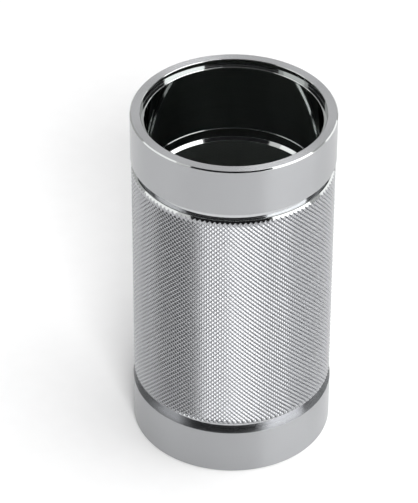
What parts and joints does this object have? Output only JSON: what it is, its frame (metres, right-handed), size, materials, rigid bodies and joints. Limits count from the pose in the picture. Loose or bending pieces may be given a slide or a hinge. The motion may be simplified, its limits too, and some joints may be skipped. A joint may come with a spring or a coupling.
{
  "type": "linear ball bushing",
  "caption": "Upright steel linear ball bushing: knurled sleeve with plain collars, circlip grooves and a stepped bore, holding a sliding, turning ball cage on a snap ring.",
  "frame": {"origin": "centre of the lower end face, on the bore's axis", "axes": "+Z along the bore's axis, from the lower end face (snap ring end) to the upper mouth"},
  "size_m": [0.04, 0.04, 0.074],
  "materials": {
    "sleeve_steel": "ground and polished",
    "spring_steel": "blackened",
    "cage_acetal": "moulded black",
    "ball_steel": "polished"
  },
  "bodies": {
    "sleeve": {"outer_sleeve": "sleeve_steel"},
    "ring": {"snap_ring": "spring_steel"},
    "cage": {"ball_cage": "cage_acetal"},
    "ball_row1_01": {"ball_row1_01": "ball_steel"},
    "ball_row1_02": {"ball_row1_02": "ball_steel"},
    "ball_row1_03": {"ball_row1_03": "ball_steel"},
    "ball_row1_04": {"ball_row1_04": "ball_steel"},
    "ball_row1_05": {"ball_row1_05": "ball_steel"},
    "ball_row1_06": {"ball_row1_06": "ball_steel"},
    "ball_row1_07": {"ball_row1_07": "ball_steel"},
    "ball_row1_08": {"ball_row1_08": "ball_steel"},
    "ball_row1_09": {"ball_row1_09": "ball_steel"},
    "ball_row1_10": {"ball_row1_10": "ball_steel"},
    "ball_row1_11": {"ball_row1_11": "ball_steel"},
    "ball_row1_12": {"ball_row1_12": "ball_steel"},
    "ball_row2_01": {"ball_row2_01": "ball_steel"},
    "ball_row2_02": {"ball_row2_02": "ball_steel"},
    "ball_row2_03": {"ball_row2_03": "ball_steel"},
    "ball_row2_04": {"ball_row2_04": "ball_steel"},
    "ball_row2_05": {"ball_row2_05": "ball_steel"},
    "ball_row2_06": {"ball_row2_06": "ball_steel"},
    "ball_row2_07": {"ball_row2_07": "ball_steel"},
    "ball_row2_08": {"ball_row2_08": "ball_steel"},
    "ball_row2_09": {"ball_row2_09": "ball_steel"},
    "ball_row2_10": {"ball_row2_10": "ball_steel"},
    "ball_row2_11": {"ball_row2_11": "ball_steel"},
    "ball_row2_12": {"ball_row2_12": "ball_steel"},
    "ball_row3_01": {"ball_row3_01": "ball_steel"},
    "ball_row3_02": {"ball_row3_02": "ball_steel"},
    "ball_row3_03": {"ball_row3_03": "ball_steel"},
    "ball_row3_04": {"ball_row3_04": "ball_steel"},
    "ball_row3_05": {"ball_row3_05": "ball_steel"},
    "ball_row3_06": {"ball_row3_06": "ball_steel"},
    "ball_row3_07": {"ball_row3_07": "ball_steel"},
    "ball_row3_08": {"ball_row3_08": "ball_steel"},
    "ball_row3_09": {"ball_row3_09": "ball_steel"},
    "ball_row3_10": {"ball_row3_10": "ball_steel"},
    "ball_row3_11": {"ball_row3_11": "ball_steel"},
    "ball_row3_12": {"ball_row3_12": "ball_steel"},
    "ball_row4_01": {"ball_row4_01": "ball_steel"},
    "ball_row4_02": {"ball_row4_02": "ball_steel"},
    "ball_row4_03": {"ball_row4_03": "ball_steel"},
    "ball_row4_04": {"ball_row4_04": "ball_steel"},
    "ball_row4_05": {"ball_row4_05": "ball_steel"},
    "ball_row4_06": {"ball_row4_06": "ball_steel"},
    "ball_row4_07": {"ball_row4_07": "ball_steel"},
    "ball_row4_08": {"ball_row4_08": "ball_steel"},
    "ball_row4_09": {"ball_row4_09": "ball_steel"},
    "ball_row4_10": {"ball_row4_10": "ball_steel"},
    "ball_row4_11": {"ball_row4_11": "ball_steel"},
    "ball_row4_12": {"ball_row4_12": "ball_steel"}
  },
  "joints": [
    {"name": "cage_turn", "type": "hinge", "parent": "sleeve", "child": "ring", "pos_m": [0, 0, 0.0059], "axis": [0, 0, 1], "continuous": true},
    {"name": "cage_travel", "type": "slide", "parent": "ring", "child": "cage", "axis": [0, 0, 1], "range_m": [0, 0.0265]},
    {"name": "ball_row1_01_roll", "type": "hinge", "parent": "cage", "child": "ball_row1_01", "pos_m": [0.0144, 0, 0.0104], "axis": [0, 1, 0], "continuous": true},
    {"name": "ball_row1_02_roll", "type": "hinge", "parent": "cage", "child": "ball_row1_02", "pos_m": [0.01247, 0.0072, 0.0104], "axis": [-0.5, 0.866, 0], "continuous": true},
    {"name": "ball_row1_03_roll", "type": "hinge", "parent": "cage", "child": "ball_row1_03", "pos_m": [0.0072, 0.01247, 0.0104], "axis": [-0.866, 0.5, 0], "continuous": true},
    {"name": "ball_row1_04_roll", "type": "hinge", "parent": "cage", "child": "ball_row1_04", "pos_m": [0, 0.0144, 0.0104], "axis": [-1, 0, 0], "continuous": true},
    {"name": "ball_row1_05_roll", "type": "hinge", "parent": "cage", "child": "ball_row1_05", "pos_m": [-0.0072, 0.01247, 0.0104], "axis": [-0.866, -0.5, 0], "continuous": true},
    {"name": "ball_row1_06_roll", "type": "hinge", "parent": "cage", "child": "ball_row1_06", "pos_m": [-0.01247, 0.0072, 0.0104], "axis": [-0.5, -0.866, 0], "continuous": true},
    {"name": "ball_row1_07_roll", "type": "hinge", "parent": "cage", "child": "ball_row1_07", "pos_m": [-0.0144, 0, 0.0104], "axis": [0, -1, 0], "continuous": true},
    {"name": "ball_row1_08_roll", "type": "hinge", "parent": "cage", "child": "ball_row1_08", "pos_m": [-0.01247, -0.0072, 0.0104], "axis": [0.5, -0.866, 0], "continuous": true},
    {"name": "ball_row1_09_roll", "type": "hinge", "parent": "cage", "child": "ball_row1_09", "pos_m": [-0.0072, -0.01247, 0.0104], "axis": [0.866, -0.5, 0], "continuous": true},
    {"name": "ball_row1_10_roll", "type": "hinge", "parent": "cage", "child": "ball_row1_10", "pos_m": [0, -0.0144, 0.0104], "axis": [1, 0, 0], "continuous": true},
    {"name": "ball_row1_11_roll", "type": "hinge", "parent": "cage", "child": "ball_row1_11", "pos_m": [0.0072, -0.01247, 0.0104], "axis": [0.866, 0.5, 0], "continuous": true},
    {"name": "ball_row1_12_roll", "type": "hinge", "parent": "cage", "child": "ball_row1_12", "pos_m": [0.01247, -0.0072, 0.0104], "axis": [0.5, 0.866, 0], "continuous": true},
    {"name": "ball_row2_01_roll", "type": "hinge", "parent": "cage", "child": "ball_row2_01", "pos_m": [0.01428, 0.00188, 0.0158], "axis": [-0.1305, 0.9914, 0], "continuous": true},
    {"name": "ball_row2_02_roll", "type": "hinge", "parent": "cage", "child": "ball_row2_02", "pos_m": [0.01142, 0.00877, 0.0158], "axis": [-0.6088, 0.7934, 0], "continuous": true},
    {"name": "ball_row2_03_roll", "type": "hinge", "parent": "cage", "child": "ball_row2_03", "pos_m": [0.00551, 0.0133, 0.0158], "axis": [-0.9239, 0.3827, 0], "continuous": true},
    {"name": "ball_row2_04_roll", "type": "hinge", "parent": "cage", "child": "ball_row2_04", "pos_m": [-0.00188, 0.01428, 0.0158], "axis": [-0.9914, -0.1305, 0], "continuous": true},
    {"name": "ball_row2_05_roll", "type": "hinge", "parent": "cage", "child": "ball_row2_05", "pos_m": [-0.00877, 0.01142, 0.0158], "axis": [-0.7934, -0.6088, 0], "continuous": true},
    {"name": "ball_row2_06_roll", "type": "hinge", "parent": "cage", "child": "ball_row2_06", "pos_m": [-0.0133, 0.00551, 0.0158], "axis": [-0.3827, -0.9239, 0], "continuous": true},
    {"name": "ball_row2_07_roll", "type": "hinge", "parent": "cage", "child": "ball_row2_07", "pos_m": [-0.01428, -0.00188, 0.0158], "axis": [0.1305, -0.9914, 0], "continuous": true},
    {"name": "ball_row2_08_roll", "type": "hinge", "parent": "cage", "child": "ball_row2_08", "pos_m": [-0.01142, -0.00877, 0.0158], "axis": [0.6088, -0.7934, 0], "continuous": true},
    {"name": "ball_row2_09_roll", "type": "hinge", "parent": "cage", "child": "ball_row2_09", "pos_m": [-0.00551, -0.0133, 0.0158], "axis": [0.9239, -0.3827, 0], "continuous": true},
    {"name": "ball_row2_10_roll", "type": "hinge", "parent": "cage", "child": "ball_row2_10", "pos_m": [0.00188, -0.01428, 0.0158], "axis": [0.9914, 0.1305, 0], "continuous": true},
    {"name": "ball_row2_11_roll", "type": "hinge", "parent": "cage", "child": "ball_row2_11", "pos_m": [0.00877, -0.01142, 0.0158], "axis": [0.7934, 0.6088, 0], "continuous": true},
    {"name": "ball_row2_12_roll", "type": "hinge", "parent": "cage", "child": "ball_row2_12", "pos_m": [0.0133, -0.00551, 0.0158], "axis": [0.3827, 0.9239, 0], "continuous": true},
    {"name": "ball_row3_01_roll", "type": "hinge", "parent": "cage", "child": "ball_row3_01", "pos_m": [0.01391, 0.00373, 0.0212], "axis": [-0.2588, 0.9659, 0], "continuous": true},
    {"name": "ball_row3_02_roll", "type": "hinge", "parent": "cage", "child": "ball_row3_02", "pos_m": [0.01018, 0.01018, 0.0212], "axis": [-0.7071, 0.7071, 0], "continuous": true},
    {"name": "ball_row3_03_roll", "type": "hinge", "parent": "cage", "child": "ball_row3_03", "pos_m": [0.00373, 0.01391, 0.0212], "axis": [-0.9659, 0.2588, 0], "continuous": true},
    {"name": "ball_row3_04_roll", "type": "hinge", "parent": "cage", "child": "ball_row3_04", "pos_m": [-0.00373, 0.01391, 0.0212], "axis": [-0.9659, -0.2588, 0], "continuous": true},
    {"name": "ball_row3_05_roll", "type": "hinge", "parent": "cage", "child": "ball_row3_05", "pos_m": [-0.01018, 0.01018, 0.0212], "axis": [-0.7071, -0.7071, 0], "continuous": true},
    {"name": "ball_row3_06_roll", "type": "hinge", "parent": "cage", "child": "ball_row3_06", "pos_m": [-0.01391, 0.00373, 0.0212], "axis": [-0.2588, -0.9659, 0], "continuous": true},
    {"name": "ball_row3_07_roll", "type": "hinge", "parent": "cage", "child": "ball_row3_07", "pos_m": [-0.01391, -0.00373, 0.0212], "axis": [0.2588, -0.9659, 0], "continuous": true},
    {"name": "ball_row3_08_roll", "type": "hinge", "parent": "cage", "child": "ball_row3_08", "pos_m": [-0.01018, -0.01018, 0.0212], "axis": [0.7071, -0.7071, 0], "continuous": true},
    {"name": "ball_row3_09_roll", "type": "hinge", "parent": "cage", "child": "ball_row3_09", "pos_m": [-0.00373, -0.01391, 0.0212], "axis": [0.9659, -0.2588, 0], "continuous": true},
    {"name": "ball_row3_10_roll", "type": "hinge", "parent": "cage", "child": "ball_row3_10", "pos_m": [0.00373, -0.01391, 0.0212], "axis": [0.9659, 0.2588, 0], "continuous": true},
    {"name": "ball_row3_11_roll", "type": "hinge", "parent": "cage", "child": "ball_row3_11", "pos_m": [0.01018, -0.01018, 0.0212], "axis": [0.7071, 0.7071, 0], "continuous": true},
    {"name": "ball_row3_12_roll", "type": "hinge", "parent": "cage", "child": "ball_row3_12", "pos_m": [0.01391, -0.00373, 0.0212], "axis": [0.2588, 0.9659, 0], "continuous": true},
    {"name": "ball_row4_01_roll", "type": "hinge", "parent": "cage", "child": "ball_row4_01", "pos_m": [0.0133, 0.00551, 0.0266], "axis": [-0.3827, 0.9239, 0], "continuous": true},
    {"name": "ball_row4_02_roll", "type": "hinge", "parent": "cage", "child": "ball_row4_02", "pos_m": [0.00877, 0.01142, 0.0266], "axis": [-0.7934, 0.6088, 0], "continuous": true},
    {"name": "ball_row4_03_roll", "type": "hinge", "parent": "cage", "child": "ball_row4_03", "pos_m": [0.00188, 0.01428, 0.0266], "axis": [-0.9914, 0.1305, 0], "continuous": true},
    {"name": "ball_row4_04_roll", "type": "hinge", "parent": "cage", "child": "ball_row4_04", "pos_m": [-0.00551, 0.0133, 0.0266], "axis": [-0.9239, -0.3827, 0], "continuous": true},
    {"name": "ball_row4_05_roll", "type": "hinge", "parent": "cage", "child": "ball_row4_05", "pos_m": [-0.01142, 0.00877, 0.0266], "axis": [-0.6088, -0.7934, 0], "continuous": true},
    {"name": "ball_row4_06_roll", "type": "hinge", "parent": "cage", "child": "ball_row4_06", "pos_m": [-0.01428, 0.00188, 0.0266], "axis": [-0.1305, -0.9914, 0], "continuous": true},
    {"name": "ball_row4_07_roll", "type": "hinge", "parent": "cage", "child": "ball_row4_07", "pos_m": [-0.0133, -0.00551, 0.0266], "axis": [0.3827, -0.9239, 0], "continuous": true},
    {"name": "ball_row4_08_roll", "type": "hinge", "parent": "cage", "child": "ball_row4_08", "pos_m": [-0.00877, -0.01142, 0.0266], "axis": [0.7934, -0.6088, 0], "continuous": true},
    {"name": "ball_row4_09_roll", "type": "hinge", "parent": "cage", "child": "ball_row4_09", "pos_m": [-0.00188, -0.01428, 0.0266], "axis": [0.9914, -0.1305, 0], "continuous": true},
    {"name": "ball_row4_10_roll", "type": "hinge", "parent": "cage", "child": "ball_row4_10", "pos_m": [0.00551, -0.0133, 0.0266], "axis": [0.9239, 0.3827, 0], "continuous": true},
    {"name": "ball_row4_11_roll", "type": "hinge", "parent": "cage", "child": "ball_row4_11", "pos_m": [0.01142, -0.00877, 0.0266], "axis": [0.6088, 0.7934, 0], "continuous": true},
    {"name": "ball_row4_12_roll", "type": "hinge", "parent": "cage", "child": "ball_row4_12", "pos_m": [0.01428, -0.00188, 0.0266], "axis": [0.1305, 0.9914, 0], "continuous": true}
  ],
  "couplings": [
    {"joint": "ball_row1_01_roll", "follows": "cage_travel", "rad_per_m": 500},
    {"joint": "ball_row1_02_roll", "follows": "cage_travel", "rad_per_m": 500},
    {"joint": "ball_row1_03_roll", "follows": "cage_travel", "rad_per_m": 500},
    {"joint": "ball_row1_04_roll", "follows": "cage_travel", "rad_per_m": 500},
    {"joint": "ball_row1_05_roll", "follows": "cage_travel", "rad_per_m": 500},
    {"joint": "ball_row1_06_roll", "follows": "cage_travel", "rad_per_m": 500},
    {"joint": "ball_row1_07_roll", "follows": "cage_travel", "rad_per_m": 500},
    {"joint": "ball_row1_08_roll", "follows": "cage_travel", "rad_per_m": 500},
    {"joint": "ball_row1_09_roll", "follows": "cage_travel", "rad_per_m": 500},
    {"joint": "ball_row1_10_roll", "follows": "cage_travel", "rad_per_m": 500},
    {"joint": "ball_row1_11_roll", "follows": "cage_travel", "rad_per_m": 500},
    {"joint": "ball_row1_12_roll", "follows": "cage_travel", "rad_per_m": 500},
    {"joint": "ball_row2_01_roll", "follows": "cage_travel", "rad_per_m": 500},
    {"joint": "ball_row2_02_roll", "follows": "cage_travel", "rad_per_m": 500},
    {"joint": "ball_row2_03_roll", "follows": "cage_travel", "rad_per_m": 500},
    {"joint": "ball_row2_04_roll", "follows": "cage_travel", "rad_per_m": 500},
    {"joint": "ball_row2_05_roll", "follows": "cage_travel", "rad_per_m": 500},
    {"joint": "ball_row2_06_roll", "follows": "cage_travel", "rad_per_m": 500},
    {"joint": "ball_row2_07_roll", "follows": "cage_travel", "rad_per_m": 500},
    {"joint": "ball_row2_08_roll", "follows": "cage_travel", "rad_per_m": 500},
    {"joint": "ball_row2_09_roll", "follows": "cage_travel", "rad_per_m": 500},
    {"joint": "ball_row2_10_roll", "follows": "cage_travel", "rad_per_m": 500},
    {"joint": "ball_row2_11_roll", "follows": "cage_travel", "rad_per_m": 500},
    {"joint": "ball_row2_12_roll", "follows": "cage_travel", "rad_per_m": 500},
    {"joint": "ball_row3_01_roll", "follows": "cage_travel", "rad_per_m": 500},
    {"joint": "ball_row3_02_roll", "follows": "cage_travel", "rad_per_m": 500},
    {"joint": "ball_row3_03_roll", "follows": "cage_travel", "rad_per_m": 500},
    {"joint": "ball_row3_04_roll", "follows": "cage_travel", "rad_per_m": 500},
    {"joint": "ball_row3_05_roll", "follows": "cage_travel", "rad_per_m": 500},
    {"joint": "ball_row3_06_roll", "follows": "cage_travel", "rad_per_m": 500},
    {"joint": "ball_row3_07_roll", "follows": "cage_travel", "rad_per_m": 500},
    {"joint": "ball_row3_08_roll", "follows": "cage_travel", "rad_per_m": 500},
    {"joint": "ball_row3_09_roll", "follows": "cage_travel", "rad_per_m": 500},
    {"joint": "ball_row3_10_roll", "follows": "cage_travel", "rad_per_m": 500},
    {"joint": "ball_row3_11_roll", "follows": "cage_travel", "rad_per_m": 500},
    {"joint": "ball_row3_12_roll", "follows": "cage_travel", "rad_per_m": 500},
    {"joint": "ball_row4_01_roll", "follows": "cage_travel", "rad_per_m": 500},
    {"joint": "ball_row4_02_roll", "follows": "cage_travel", "rad_per_m": 500},
    {"joint": "ball_row4_03_roll", "follows": "cage_travel", "rad_per_m": 500},
    {"joint": "ball_row4_04_roll", "follows": "cage_travel", "rad_per_m": 500},
    {"joint": "ball_row4_05_roll", "follows": "cage_travel", "rad_per_m": 500},
    {"joint": "ball_row4_06_roll", "follows": "cage_travel", "rad_per_m": 500},
    {"joint": "ball_row4_07_roll", "follows": "cage_travel", "rad_per_m": 500},
    {"joint": "ball_row4_08_roll", "follows": "cage_travel", "rad_per_m": 500},
    {"joint": "ball_row4_09_roll", "follows": "cage_travel", "rad_per_m": 500},
    {"joint": "ball_row4_10_roll", "follows": "cage_travel", "rad_per_m": 500},
    {"joint": "ball_row4_11_roll", "follows": "cage_travel", "rad_per_m": 500},
    {"joint": "ball_row4_12_roll", "follows": "cage_travel", "rad_per_m": 500}
  ]
}
